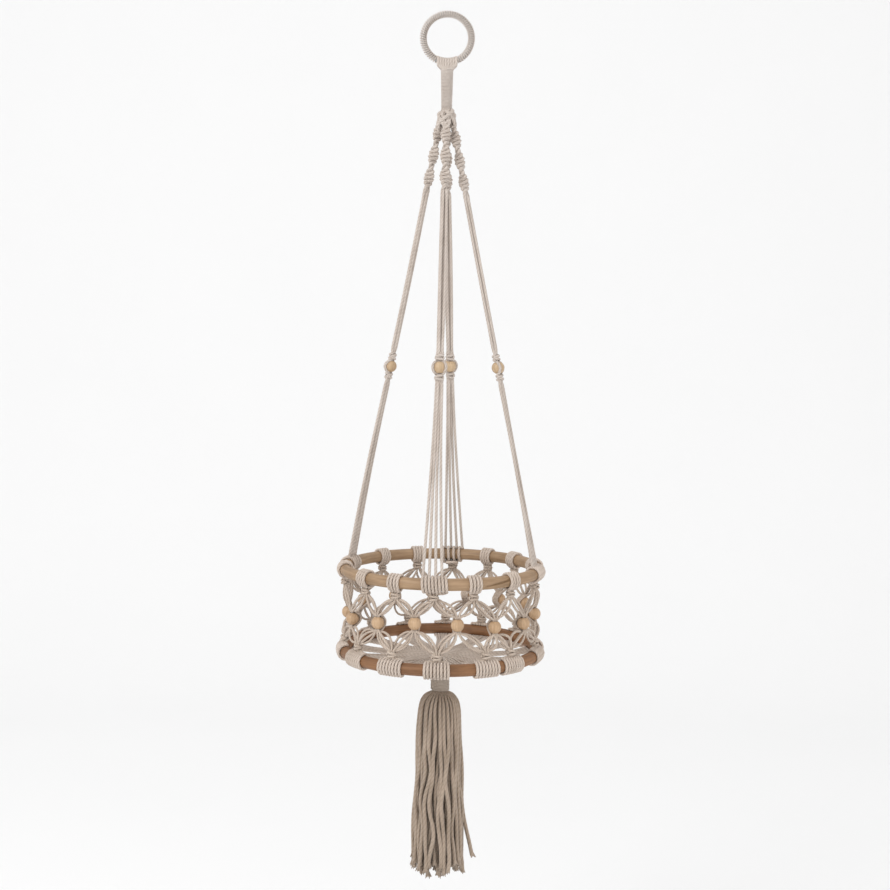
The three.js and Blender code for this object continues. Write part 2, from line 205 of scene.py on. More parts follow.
# --- Tassel ---------------------------------------------------------------------------------------
# The ends of all 112 strands that form the basket, bound together under it. They spread where they leave
# the binding, hang straight down, and are cut to uneven lengths whose tips have begun to fray.
CORD_RADIUS = 1.8
CORD_SIDES = 12
PLIES = 3
TWIST = 14.4  # one full turn of the three plies takes this length of cord


def round_axis(reach, angle, level):
    """Points about the planter's axis: how far out, how far round from the front, and how high."""
    return np.stack(np.broadcast_arrays(reach * np.sin(angle), -reach * np.cos(angle), level), -1)


def even_line(line, step):
    """Points at equal steps of length along a smooth curve (Catmull-Rom) through a line's points, in mm."""
    padded = np.concatenate([2 * line[:1] - line[1:2], line, 2 * line[-1:] - line[-2:-1]])
    share = np.linspace(0, 1, 9)[:-1, None]
    before, start, stop, after = (padded[i:len(padded) - 3 + i, None, :] for i in range(4))
    curve = 0.5 * (2 * start + (stop - before) * share
                   + (2 * before - 5 * start + 4 * stop - after) * share**2
                   + (3 * start - before - 3 * stop + after) * share**3)
    curve = np.concatenate([curve.reshape(-1, 3), line[-1:]])
    reached = np.concatenate([[0], np.cumsum(np.linalg.norm(np.diff(curve, axis=0), axis=1))])
    wanted = np.linspace(0, reached[-1], max(4, int(round(reached[-1] / step)) + 1))
    return np.stack([np.interp(wanted, reached, curve[:, axis]) for axis in range(3)], -1)


def frames_along(lines):
    """Unit tangents and two unit normals at each point of lines of shape (cords, points, 3). The first
    normal is carried from point to point by two reflections, so it never spins about the cord."""
    tangent = np.gradient(lines, axis=1)
    tangent /= np.maximum(np.linalg.norm(tangent, axis=2, keepdims=True), 1e-9)
    normal = np.empty_like(lines)
    guess = np.where(np.abs(tangent[:, 0, 2:3]) < 0.9, [[0.0, 0.0, 1.0]], [[1.0, 0.0, 0.0]])
    first = np.cross(tangent[:, 0], guess)
    normal[:, 0] = first / np.linalg.norm(first, axis=1, keepdims=True)
    for k in range(lines.shape[1] - 1):
        step = lines[:, k + 1] - lines[:, k]
        size = np.maximum((step * step).sum(1, keepdims=True), 1e-12)
        carried = normal[:, k] - 2 * (step * normal[:, k]).sum(1, keepdims=True) / size * step
        turned = tangent[:, k] - 2 * (step * tangent[:, k]).sum(1, keepdims=True) / size * step
        change = tangent[:, k + 1] - turned
        size = np.maximum((change * change).sum(1, keepdims=True), 1e-12)
        carried = carried - 2 * (change * carried).sum(1, keepdims=True) / size * change
        normal[:, k + 1] = carried / np.linalg.norm(carried, axis=1, keepdims=True)
    return tangent, normal, np.cross(tangent, normal)


def cord_tube(lines, radius, lay=TWIST, sides=CORD_SIDES, depth=0.11):
    """Cord surface: at each point of a line, a closed section of radius r(1 - depth (1 - cos 3a) / 2), with
    3 humps for the plies, turned steadily along the line; the ends draw in to close round tips.
    lines is (cords, points, 3) in mm and radius one number or (cords, points). The lengths along each cord
    come back with it, as the cord's map."""
    count, stations = lines.shape[:2]
    radius = np.broadcast_to(radius, (count, stations)).copy()
    length = np.concatenate([np.zeros((count, 1)),
                             np.cumsum(np.linalg.norm(np.diff(lines, axis=1), axis=2), axis=1)], axis=1)
    tangent, normal, across = frames_along(lines)
    tip = 0.45 * radius[:, [0, -1]]
    lines = np.concatenate([lines[:, :1] - tangent[:, :1] * tip[:, :1, None], lines,
                            lines[:, -1:] + tangent[:, -1:] * tip[:, 1:, None]], axis=1)
    normal, across = (np.concatenate([part[:, :1], part, part[:, -1:]], axis=1) for part in (normal, across))
    length = np.concatenate([length[:, :1], length, length[:, -1:]], axis=1)
    radius = np.concatenate([0.5 * radius[:, :1], radius, 0.5 * radius[:, -1:]], axis=1)
    angle = np.arange(sides) * 2 * math.pi / sides
    section = 1 - depth * (1 - np.cos(PLIES * angle)) / 2
    turned = angle[None, None, :] + 2 * math.pi * length[:, :, None] / lay
    reach = (radius[:, :, None] * section[None, None, :])[..., None]
    points = lines[:, :, None, :] + reach * (np.cos(turned)[..., None] * normal[:, :, None, :]
                                             + np.sin(turned)[..., None] * across[:, :, None, :])
    uv = np.stack([length, length], -1) * MM
    return points * MM, uv


def add_cords(name, lines, radius, material, step=1.2, body=None, nodes=(), lay=TWIST, sides=CORD_SIDES,
              depth=0.11):
    """One piece of several cords. Each line is (points, 3) in mm; radius is one number, or a list that is
    spread evenly along every line, or one such list per line. All cords of a piece get the same number of
    stations, about a step apart. Returns the piece and the cords' middle lines."""
    even = [even_line(np.asarray(line, float), 0.5) for line in lines]
    sizes = [np.linalg.norm(np.diff(line, axis=0), axis=1).sum() for line in even]
    stations = max(6, int(round(np.mean(sizes) / step)) + 1)
    share = np.linspace(0, 1, stations)
    even = np.stack([np.stack([np.interp(share, np.linspace(0, 1, len(line)), line[:, axis])
                               for axis in range(3)], -1) for line in even])
    if np.ndim(radius):
        radius = np.stack([np.interp(share, np.linspace(0, 1, len(one)), one)
                           for one in np.broadcast_to(radius, (len(lines), np.shape(radius)[-1]))])
    points, uv = cord_tube(even, radius, lay, sides, depth)
    piece = grid_mesh(name, points, closed_across=True, uv=uv, caps=True)
    piece.data.materials.append(material)
    if body:
        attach(piece, body)
    if nodes:
        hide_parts(*nodes)
    return piece, even


def ply_shading_group():
    """Cord detail that all cotton shares, from the cord's own map (u along it in metres, v round it): the
    grooves between three plies, a mask for painted shade and for the bump, the fine fibres of each ply, and
    soft blotches along the cord."""
    group = bpy.data.node_groups.new("ply_shading", "ShaderNodeTree")
    for name, kind in (("Cord", "NodeSocketVector"), ("Place", "NodeSocketVector")):
        group.interface.new_socket(name=name, in_out="INPUT", socket_type=kind)
    for name in ("Groove_Shade", "Fibre", "Blotch", "Height"):
        group.interface.new_socket(name=name, in_out="OUTPUT", socket_type="NodeSocketFloat")
    nodes, links = group.nodes, group.links
    inside, outside = nodes.new("NodeGroupInput"), nodes.new("NodeGroupOutput")

    def maths(operation, *values):
        """A Math node on numbers and sockets; returns its result."""
        node = nodes.new("ShaderNodeMath")
        node.operation = operation
        for socket, value in zip(node.inputs, values):
            if isinstance(value, (int, float)):
                socket.default_value = value
            else:
                links.new(value, socket)
        return node.outputs[0]

    def noise_on(source, scale, detail, roughness):
        """A Noise texture on a socket's coordinates; returns its value."""
        node = nodes.new("ShaderNodeTexNoise")
        set_inputs(node, Scale=scale, Detail=detail, Roughness=roughness)
        links.new(source, node.inputs["Vector"])
        return node.outputs["Fac"]

    parts = nodes.new("ShaderNodeSeparateXYZ")
    links.new(inside.outputs["Cord"], parts.inputs[0])
    # The grooves between the plies: this mask paints shade into them and also sinks the bump there.
    wave = maths("COSINE", maths("MULTIPLY", parts.outputs["Y"], 2 * math.pi * PLIES))
    groove_shade = maths("POWER", maths("MULTIPLY_ADD", wave, -0.5, 0.5), 3.0)
    stretch = nodes.new("ShaderNodeMapping")
    set_inputs(stretch, Scale=(420, 26, 1), Rotation=(0, 0, 0.5))
    links.new(inside.outputs["Cord"], stretch.inputs["Vector"])
    fibre = noise_on(stretch.outputs[0], 1.0, 4.0, 0.7)
    blotch = noise_on(inside.outputs["Place"], 38.0, 3.0, 0.6)
    fuzz = noise_on(inside.outputs["Place"], 1900.0, 2.0, 0.6)
    height = maths("ADD", maths("MULTIPLY", fibre, 0.6), maths("MULTIPLY", fuzz, 0.5))
    height = maths("SUBTRACT", height, maths("MULTIPLY", groove_shade, 0.9))
    for name, value in (("Groove_Shade", groove_shade), ("Fibre", fibre), ("Blotch", blotch), ("Height", height)):
        links.new(value, outside.inputs[name])
    return group


ply_shading = ply_shading_group()


def add_bump(nodes, links, height, shader, strength, distance, invert=False):
    """Raises the shader's surface by a height; distance is in metres."""
    bump = nodes.new("ShaderNodeBump")
    set_inputs(bump, Strength=strength, Distance=distance)
    bump.invert = invert
    links.new(height, bump.inputs["Height"])
    links.new(bump.outputs[0], shader.inputs["Normal"])


def cotton(name, light, dark, groove_shade=0.55):
    """Natural cotton: the light tone on the plies, the dark one in soft blotches and, as painted shade, in the
    grooves between the plies. The groove shade number says how much of the dark tone is painted into the
    grooves."""
    material, nodes, links, shader = new_material(
        name, Roughness=0.92, Sheen_Weight=0.25, Sheen_Roughness=0.6, Specular_IOR_Level=0.2)
    place, detail = nodes.new("ShaderNodeTexCoord"), nodes.new("ShaderNodeGroup")
    detail.node_tree = ply_shading
    links.new(place.outputs["UV"], detail.inputs["Cord"])
    links.new(place.outputs["Object"], detail.inputs["Place"])
    # Painted shade: part of the dark tone goes into the grooves between the plies; the blotches are the
    # cotton's own uneven tone.
    tone = nodes.new("ShaderNodeMath")
    tone.operation = "MULTIPLY_ADD"
    links.new(detail.outputs["Groove_Shade"], tone.inputs[0])
    tone.inputs[1].default_value = groove_shade
    spots = nodes.new("ShaderNodeMapRange")
    set_inputs(spots, From_Min=0.35, From_Max=0.75, To_Min=0.0, To_Max=0.38)
    links.new(detail.outputs["Blotch"], spots.inputs["Value"])
    links.new(spots.outputs["Result"], tone.inputs[2])
    streaks = nodes.new("ShaderNodeMath")
    streaks.operation, streaks.use_clamp = "MULTIPLY_ADD", True
    links.new(detail.outputs["Fibre"], streaks.inputs[0])
    streaks.inputs[1].default_value = 0.22
    links.new(tone.outputs[0], streaks.inputs[2])
    mix_colours(nodes, links, streaks.outputs[0], light, dark, shader)
    add_bump(nodes, links, detail.outputs["Height"], shader, 0.55, 0.0005)
    return material


# Painted shade: a darker, browner copy of the cotton, for the shadows among the tassel's many strands.
tassel_shaded_cotton = cotton("tassel_shaded_cotton", (0.465, 0.368, 0.288), (0.22, 0.16, 0.11), groove_shade=0.3)
BINDING_BOTTOM = -807.05
LOOSE_RADIUS = 2.45  # the hanging cords have slackened and are thicker than the knotted ones
LONGEST_DROP, UNEVENNESS = 217, 17  # the strands are cut up to this much shorter than the longest
STRAND_RINGS = ((30, 24.8), (26, 20.2), (21, 15.6), (16, 11.0), (12, 6.8), (7, 2.6))  # how many, how far out
DECLARED_STRANDS = 40  # the outer ring and part of the next are pieces of their own
LOOSE_LAY, LOOSE_DEPTH = 19.0, 0.035  # the plies of a slackened cord wind more slowly and stand out less
SQUEEZED = [1.0, 1.45, 1.8, 2.1, 2.3] + [LOOSE_RADIUS] * 16  # radii along a strand, from the binding down


def tassel_strand(angle, spread, drop, sway, lean):
    """One strand's points: out from under the binding in an S, then down, wandering about its angle and its
    distance from the axis by two slow waves whose reach grows downwards."""
    down = np.concatenate([[0, 3.0, 5.2, 7.6, 11.5, 17, 26], np.arange(38, drop - 8, 13), [drop]])
    rise = np.interp(down, [0, 3, 5.2, 7.6, 11.5, 17, 26, 40, 115, 200],
                     [0.23, 0.34, 0.50, 0.66, 0.80, 0.885, 0.94, 0.97, 1.08, 1.2])
    share = np.clip((down - 8) / 70, 0, 1)
    wide, first_phase, second_phase, wave = sway
    wander = wide * np.sin(down / wave + first_phase)
    wander = wander + wide * 0.6 * np.sin(down / (0.53 * wave) + second_phase)
    reach = spread * rise + 1.1 * np.sin(down / (0.8 * wave) + second_phase) * share
    turned = angle + wander * share / spread + lean * np.clip(down / 200, 0, 1) / spread
    return round_axis(reach, turned, BINDING_BOTTOM + 1.5 - down)


strands = []
for ring_number, (ring_count, spread) in enumerate(STRAND_RINGS):
    for index in range(ring_count):
        angle = 0.1 * ring_number + (index + rng.uniform(-0.12, 0.12)) * 2 * math.pi / ring_count
        sway = rng.uniform((0.9, 0, 0, 15), (2.6, 6.28, 6.28, 27))
        reach = spread + rng.uniform(-1.3, 1.5)
        drop = LONGEST_DROP - rng.uniform(0, UNEVENNESS)
        strands.append(tassel_strand(angle, reach, drop, sway, rng.uniform(-4, 4)))
# One outer strand at the right swings out of line over its lowest stretch.
STRAY_STRAND, STRAY_REACH, STRAY_TOP, STRAY_LENGTH = 7, 12.0, -930, 90
stray = strands[STRAY_STRAND]
stray[:, 0] += STRAY_REACH * np.clip((STRAY_TOP - stray[:, 2]) / STRAY_LENGTH, 0, 1) ** 1.3


def declare_strand(index, strand):
    """Makes one strand its own piece."""
    piece, path = add_cords(f"tassel_strand_{index + 1:02d}", [strand], SQUEEZED, tassel_shaded_cotton, step=1.5,
                            lay=LOOSE_LAY, depth=LOOSE_DEPTH)
    if index == 0:
        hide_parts("tassel")
    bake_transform(piece)


for index in range(DECLARED_STRANDS):
    declare_strand(index, strands[index])
inner_from = STRAND_RINGS[0][0] + STRAND_RINGS[1][0]
for core_name, first, last, sides in (("tassel_second_layer", DECLARED_STRANDS, inner_from, 10),
                                      ("tassel_core", inner_from, len(strands), 8)):
    core, _ = add_cords(core_name, strands[first:last], SQUEEZED, tassel_shaded_cotton, step=2.0, lay=LOOSE_LAY,
                        sides=sides, depth=LOOSE_DEPTH)
    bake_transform(core)

# Each cut end has opened into a puff of fine yarns that splay and curl a little.
YARNS_TO_A_TIP = 12
yarns = []
for strand in strands:
    tip, down = strand[-1], strand[-1] - strand[-2]
    down = down / np.linalg.norm(down)
    for _ in range(YARNS_TO_A_TIP):
        spin = rng.uniform(0, 2 * math.pi)
        out = np.array([math.cos(spin), math.sin(spin), 0]) * rng.uniform(0.6, 2.5)
        size = rng.uniform(2.0, 4.6)
        root = tip - 3.5 * down + out * 0.7
        halfway = root + down * (1.5 + size * 0.5) + out * 0.5
        yarns.append(np.stack([root, halfway, root + down * (2 + size) + out * 1.1]))
add_cords("tassel_frayed_tips", yarns, [1.0, 0.95, 0.45], tassel_shaded_cotton, step=1.7, body="tassel_skirt",
          sides=6, depth=0.0)

# --- Tassel head -----------------------------------------------------------------------------------
# Under the middle of the base all the cords drop through one tight bundle, which a length of thinner cord,
# wound nearly fifteen times round and pulled tight, binds together. Only its outer cords are made.
BUNDLE_CORDS = 26
shaded_cotton = cotton("shaded_cotton", (0.63, 0.54, 0.455), (0.32, 0.25, 0.19))
bundle_lines = []
for index in range(BUNDLE_CORDS):
    angle = index * 2 * math.pi / BUNDLE_CORDS + rng.uniform(-0.03, 0.03)
    turned = angle + np.linspace(0, 0.5, 7)
    reach = np.array([9.6, 8.9, 8.4, 8.6, 8.7, 8.6, 8.4]) + rng.uniform(-0.15, 0.15)
    level = np.array([-766, -770, -775, -781, -790, -799, -805.5])
    bundle_lines.append(round_axis(reach, turned, level))
bundle, _ = add_cords("tassel_bundle", bundle_lines, 1.3, shaded_cotton)
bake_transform(bundle)


def wound_line(turns, top, bottom, top_radius, bottom_radius, wobble):
    """A cord wound round the axis: a helix whose radius goes evenly from the top's to the bottom's, with a
    slow wave of height wobble on it."""
    angle = np.linspace(0, turns * 2 * math.pi, int(turns * 24) + 1)
    share = angle / angle[-1]
    reach = top_radius + (bottom_radius - top_radius) * share + wobble * np.sin(angle * 0.37)
    return round_axis(reach, angle, top + (bottom - top) * share)


binding_line = wound_line(14.6, -780.2, -806.0, 10.3, 10.4, 0.12)
add_cords("tassel_binding_cord", [binding_line], 1.0, shaded_cotton, step=1.1, body="tassel_head",
          nodes=["tassel_binding"], lay=7.0, sides=9)

# --- Hanging ring ----------------------------------------------------------------------------------
# A welded steel wire ring with thin cotton cord wound round and round it, turn against turn, but for the
# gap at the bottom where the planter's cords fold over the bare wire.
RING_CENTRE, RING_RADIUS, WIRE_RADIUS = -24.7, 28.9, 2.5
BARE_HALF_WIDTH = 12.4
WINDING_TURNS, WINDING_REACH = 58, 3.5  # WINDING_REACH is from the wire's middle line to the cord's
ring_cotton = cotton("ring_cotton", (0.79, 0.71, 0.65), (0.42, 0.34, 0.285))


def ring_grid(along, across):
    """Two grids of angles for a ring: round the ring, first and last row alike, and round its section."""
    return np.meshgrid(np.arange(along + 1) * 2 * math.pi / along, np.arange(across) * 2 * math.pi / across,
                       indexing="ij")


def upright_ring(reach, a, b):
    """Points at a reach and an angle b from the ring's middle line, which stands upright facing front."""
    out = RING_RADIUS + reach * np.cos(b)
    return np.stack([out * np.sin(a), reach * np.sin(b), RING_CENTRE + out * np.cos(a)], -1)


def merge_seam(piece):
    """Joins the first and last rows of a closed ring's grid and makes its faces point outwards."""
    shell = bmesh.new()
    shell.from_mesh(piece.data)
    bmesh.ops.remove_doubles(shell, verts=shell.verts, dist=1e-6)
    bmesh.ops.recalc_face_normals(shell, faces=shell.faces)
    shell.to_mesh(piece.data)
    shell.free()


wire = grid_mesh("ring_steel_wire", upright_ring(WIRE_RADIUS, *ring_grid(96, 16))[None] * MM, True)
merge_seam(wire)
wire.data.materials.append(mottled("drawn_steel", (0.55, 0.55, 0.54), (0.36, 0.35, 0.33), 240.0, 3.0,
                                   Metallic=1.0, Roughness=0.35))
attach(wire, "ring")
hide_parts("ring_wire")

bare_half = math.asin(BARE_HALF_WIDTH / RING_RADIUS)  # as an angle from the ring's lowest place
winding_points = WINDING_TURNS * 16 + 1
round_ring = np.linspace(math.pi + bare_half, 3 * math.pi - bare_half, winding_points)
round_wire = np.linspace(0, WINDING_TURNS * 2 * math.pi, winding_points)
winding_line = upright_ring(WINDING_REACH, round_ring, round_wire)
add_cords("ring_winding_cord", [winding_line], 1.0, ring_cotton, step=1.0, body="ring",
          nodes=["ring_winding"], lay=6.0, sides=8, depth=0.10)

# --- Neck ------------------------------------------------------------------------------------------
# Eight long cords folded in half over the wire make sixteen strands, which a thin cord binds tightly into
# a round neck under the ring.
SADDLE_LEVEL = -53.6
FOLDED_CORDS, FOLD_PITCH = 8, 3.05
FOLD_REACH, FOLD_RISE = 4.45, 3.7  # how far before the wire's middle a cord hangs, and how high it arches
MIDDLE_FULLNESS = 1.15  # the two middle cords stand out over the rest
arm_cotton = cotton("arm_cotton", (0.675, 0.60, 0.54), (0.38, 0.305, 0.25), groove_shade=0.4)


def folded_over_wire(index):
    """One cord's points: up its front half from the crown, over the wire in an arc and down its back half."""
    across = (index - (FOLDED_CORDS - 1) / 2) * FOLD_PITCH
    lift = RING_RADIUS - math.sqrt(RING_RADIUS**2 - across**2)
    fullness = MIDDLE_FULLNESS if index in (3, 4) else 1
    drop = np.array([0.0, -4.5, -9.0, -14.0, -30, -50, -58.6])
    heights = [0, 4.5, 9, 14, 58.6]
    x = across * np.interp(-drop, heights, [1.0, 0.97, 0.47, 0.36, 0.30])
    y = np.interp(-drop, heights, [FOLD_REACH, 4.3, 3.6, 3.0, 2.4]) * fullness
    z = SADDLE_LEVEL + lift * np.clip(1 + drop / 9, 0, 1) + drop
    arc = np.linspace(0.25, 0.75, 5) * math.pi
    over = np.stack([np.full(5, across), -FOLD_REACH * np.cos(arc),
                     SADDLE_LEVEL + lift + FOLD_RISE * np.sin(arc)], -1)
    return np.concatenate([np.stack([x, -y, z], -1)[::-1], over, np.stack([x, y, z], -1)])


add_cords("neck_folded_cords", [folded_over_wire(index) for index in range(FOLDED_CORDS)], 1.85, arm_cotton,
          depth=0.05, body="neck", nodes=["neck_cords"])
neck_binding_line = wound_line(28.5, -62.8, -111.3, 6.75, 5.65, 0.10)
add_cords("neck_binding_cord", [neck_binding_line], 0.98, ring_cotton, step=1.0, body="neck",
          nodes=["neck_binding"], lay=6.5, sides=9)

# --- Crown -----------------------------------------------------------------------------------------
# Below the neck the sixteen strands part into four groups of four, cross in front of each other and swell
# before each group is knotted into an arm. Seven more cords inside and one over the front fill the lump.
# All are cut at one height: the upper halves follow the neck and the crown, the lower ones crown and arms.
FIRST_ANGLE = math.radians(-3)
ARM_COLUMNS = (0, 3, 7, 10)
COLUMNS = 14
# How far each place's knots have drifted from even places, on the upper and on the lower hoop, in degrees.
UPPER_DRIFT = np.array([-1, -4, -5, 0, 1, 2, -2, -4, -7, -8, 0, -2, 6, 2.5])
LOWER_DRIFT = np.array([1, 3.5, -4.5, 0, 1.5, -1, 2, 0, -1.5, 1, 0, -2, -1, 0.5])
CROWN_CORD_RADIUS, CROWN_CUT = 2.25, -121.7
even_angle = FIRST_ANGLE + np.arange(COLUMNS) * 2 * math.pi / COLUMNS
upper_angle, lower_angle = even_angle + np.radians(UPPER_DRIFT), even_angle + np.radians(LOWER_DRIFT)
arm_side = FIRST_ANGLE + np.arange(4) * math.pi / 2
ARM_TOP = round_axis(9.0, arm_side, -134.17)


def part_lines(lines, level):
    """Cuts lines that run downwards in two at a height, where the parts overlap by a step or two."""
    cuts = [int(np.argmax(line[:, 2] < level)) for line in lines]
    upper = [line[:cut + 1] for line, cut in zip(lines, cuts)]
    lower = [line[cut - 1:] for line, cut in zip(lines, cuts)]
    return upper, lower


# Each strand leaves the neck on another side than its arm's and winds round the lump on its way there.
# These are how far round it starts, in degrees, and how far out it lies at the widest place.
CROSSINGS = ((-104, 10.4), (-46, 8.6), (26, 9.4), (62, 8.2))
crown_lines = []
for group, side in enumerate(arm_side):
    over = np.array([math.cos(side), math.sin(side), 0])
    for strand, (away, widest) in enumerate(CROSSINGS):
        widest += 0.5 * math.sin(3.1 * group + strand)
        turned = side + math.radians(away) * np.array([1.0, 0.92, 0.72, 0.45, 0.16, 0.0])
        reach = np.array([3.4, 5.0, widest * 0.93, widest, 10.2, 9.6])
        level = np.array([-109.5, -112.6, -116.6, -121.4, -127.6, -131.4])
        line = round_axis(reach, turned, level)
        line[4:] += over * (strand - 1.5) * np.array([[1.3], [1.5]])
        foot = ARM_TOP[group] + over * (strand - 1.5) * 1.3 + np.array([0, 0, -3.0])
        crown_lines.append(even_line(np.concatenate([line, [foot]]), 0.5))
FILLING_CORDS = 7
filling_reach = np.array([3.2, 5.4, 6.4, 6.2, 5.0])
filling_level = np.array([-109.5, -112.8, -118.0, -124.0, -131.0])
for index in range(FILLING_CORDS):
    turned = index * 2 * math.pi / FILLING_CORDS + 0.4
    crown_lines.append(even_line(round_axis(filling_reach, turned, filling_level), 0.5))
# The cord over the front slants down from right to left.
front_turned = np.radians([62, 45, 22, -4, -30, -52, -66])
front_reach = np.array([6.5, 10.3, 12.2, 12.7, 12.2, 11.6, 9.5])
front_level = np.array([-111.2, -113.6, -117.0, -121.2, -125.4, -129.4, -133.6])
crown_lines.append(even_line(round_axis(front_reach, front_turned, front_level), 0.5))
upper_crown, lower_crown = part_lines(crown_lines, CROWN_CUT)
upper_piece, _ = add_cords("crown_cords_above", upper_crown, CROWN_CORD_RADIUS, arm_cotton, depth=0.06,
                           nodes=["crown"])
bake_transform(upper_piece)
lower_piece, _ = add_cords("crown_cords_below", lower_crown, CROWN_CORD_RADIUS, arm_cotton, depth=0.06)
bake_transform(lower_piece)

# --- Arms ------------------------------------------------------------------------------------------
# Four arms of four strands: a spiral of half knots that bulges three times, a long plain run, a wooden
# bead between two square knots with two cords inside it and two round its sides, and a spread to the hoop.
ARM_FOOT_REACH, ARM_FOOT_LEVEL = 114.0, -651.48
ARM_LENGTH, BEAD_SHARE = 526.4, 0.5527  # the bead's middle lies this share of the arm's length down it
SINNET_SPANS = ((-6, 73), (-3, 77), (-6, 73), (-12, 70))  # the front, right, back and left arms' spirals
SINNET_WIDE, SINNET_DEEP, SINNET_CORE = 4.8, 1.2, 0.9  # the working cords' helix, and the cords inside it
WORKING_RADIUS, INNER_RADIUS, PLAIN_RADIUS = 2.2, 1.2, 1.75
BEAD_RADIUS, BEAD_HOLE = 7.5, 3.0
KNOT_REACH = 11.8  # from the bead's middle to the middle of the knot above or below it
BAR_PITCH = 3.6  # from one turn of cord on a hoop to the next
# A square knot about its middle, for the cord that passes in front and the one that passes behind:
# across, outwards and up, in mm. The front cord makes both bars that show.
FRONT_WORKER = np.array([
    [-3.1, 0.2, 4.8], [-3.7, 0.9, 3.3], [-2.2, 2.7, 2.3], [0, 3.2, 1.9], [2.2, 2.7, 1.5], [3.7, 0.6, 0.9],
    [4.0, -0.4, 0.0], [3.7, 0.6, -0.9], [2.2, 2.7, -1.5], [0, 3.2, -1.9], [-2.2, 2.7, -2.3],
    [-3.7, 0.9, -3.3], [-3.1, 0.2, -4.8]])
BACK_WORKER = np.array([
    [3.1, -0.2, 4.8], [3.7, -0.9, 3.3], [2.2, -2.7, 2.3], [0, -3.2, 1.9], [-2.2, -2.7, 1.5],
    [-4.0, -0.2, 1.2], [-4.6, 1.3, 0.0], [-4.0, -0.2, -1.2], [-2.2, -2.7, -1.5], [0, -3.2, -1.9],
    [2.2, -2.7, -2.3], [3.7, -0.9, -3.3], [3.1, -0.2, -4.8]])
FILLER = np.array([[-1.2, 0, 4.8], [-1.2, 0, 0], [-1.2, 0, -4.8]])
MIRRORED = np.array([-1, 1, 1])
KNOT_PARTS = (FRONT_WORKER, FILLER, FILLER * MIRRORED, BACK_WORKER)
# The same four cords at the bead: one round each side of it and two through its hole.
ROUND_BEAD = np.array([[-5.0, -1.6, 6.6], [-7.0, -3.6, 3.6], [-7.7, -4.6, 0], [-7.0, -3.6, -3.6],
                       [-5.0, -1.6, -6.6]])
THROUGH_BEAD = np.array([[-1.2, 0, 6.5], [-1.2, 0, 0], [-1.2, 0, -6.5]])
BEAD_PARTS = (ROUND_BEAD, THROUGH_BEAD, THROUGH_BEAD * MIRRORED, ROUND_BEAD * MIRRORED)


def bead_surface(along=20, across=28):
    """A turned bead: a ball with a straight hole along Z, its mouths eased by a small round. Its section
    is carried round the axis, and closes on itself through the hole."""
    mouth = math.asin(BEAD_HOLE / BEAD_RADIUS)
    slope = np.linspace(mouth + 0.06, math.pi - mouth - 0.06, along)
    outside = np.stack([BEAD_RADIUS * np.sin(slope), BEAD_RADIUS * np.cos(slope)], -1)
    high = outside[0, 1]
    inside = np.array([[BEAD_HOLE + 0.05, -high + 0.35], [BEAD_HOLE, -high + 1.2], [BEAD_HOLE, 0],
                       [BEAD_HOLE, high - 1.2], [BEAD_HOLE + 0.05, high - 0.35]])
    section = np.concatenate([outside, [[BEAD_HOLE + 0.45, -high]], inside, [[BEAD_HOLE + 0.45, high]]])
    angle = np.arange(across + 1) * 2 * math.pi / across
    return round_axis(section[None, :, 0], angle[:, None], section[None, :, 1])


def wood_grain_group():
    """Grain that beads and canes share, on the grain attribute (its first number runs along the fibres, in
    metres): long streaks, fine pores and slow shifts of tone."""
    group = bpy.data.node_groups.new("wood_grain", "ShaderNodeTree")
    group.interface.new_socket(name="Grain", in_out="INPUT", socket_type="NodeSocketVector")
    for name in ("Streak", "Pore", "Shift"):
        group.interface.new_socket(name=name, in_out="OUTPUT", socket_type="NodeSocketFloat")
    nodes, links = group.nodes, group.links
    inside, outside = nodes.new("NodeGroupInput"), nodes.new("NodeGroupOutput")
    for name, scale, detail in (("Streak", (26, 520, 520), 4.0), ("Pore", (150, 2600, 2600), 3.0),
                                ("Shift", (30, 60, 60), 2.0)):
        stretch, noise = nodes.new("ShaderNodeMapping"), nodes.new("ShaderNodeTexNoise")
        set_inputs(stretch, Scale=scale)
        set_inputs(noise, Scale=1.0, Detail=detail, Roughness=0.6)
        links.new(inside.outputs[0], stretch.inputs["Vector"])
        links.new(stretch.outputs[0], noise.inputs["Vector"])
        links.new(noise.outputs["Fac"], outside.inputs[name])
    return group


wood_grain = wood_grain_group()


def wood(name, light, dark, roughness, coat):
    """Thinly varnished wood: the light tone crossed by darker streaks, pores and shifts of tone."""
    material, nodes, links, shader = new_material(
        name, Roughness=roughness, Coat_Weight=coat, Coat_Roughness=0.35)
    source, detail = nodes.new("ShaderNodeAttribute"), nodes.new("ShaderNodeGroup")
    source.attribute_name, detail.node_tree = "grain", wood_grain
    links.new(source.outputs["Vector"], detail.inputs["Grain"])
    total = None
    for mark, low, high, top in (("Streak", 0.38, 0.70, 0.55), ("Pore", 0.55, 0.75, 0.30),
                                 ("Shift", 0.35, 0.70, 0.45)):
        part = nodes.new("ShaderNodeMapRange")
        set_inputs(part, From_Min=low, From_Max=high, To_Min=0.0, To_Max=top)
        links.new(detail.outputs[mark], part.inputs["Value"])
        if total is None:
            total = part.outputs[0]
        else:
            joined = nodes.new("ShaderNodeMath")
            joined.operation, joined.use_clamp = "ADD", True
            links.new(total, joined.inputs[0])
            links.new(part.outputs[0], joined.inputs[1])
            total = joined.outputs[0]
    mix_colours(nodes, links, total, light, dark, shader)
    add_bump(nodes, links, total, shader, 0.25, 0.0003, invert=True)
    return material


arm_bead_wood = wood("arm_bead_wood", (0.60, 0.44, 0.275), (0.35, 0.225, 0.12), 0.5, coat=0.15)


def add_wood(name, points, grain, material, body, node):
    """A wooden ring or bead from one grid of points in mm that closes on itself both ways."""
    piece = grid_mesh(name, points[None] * MM, True, grain=grain)
    merge_seam(piece)
    piece.data.materials.append(material)
    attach(piece, body)
    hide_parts(node)


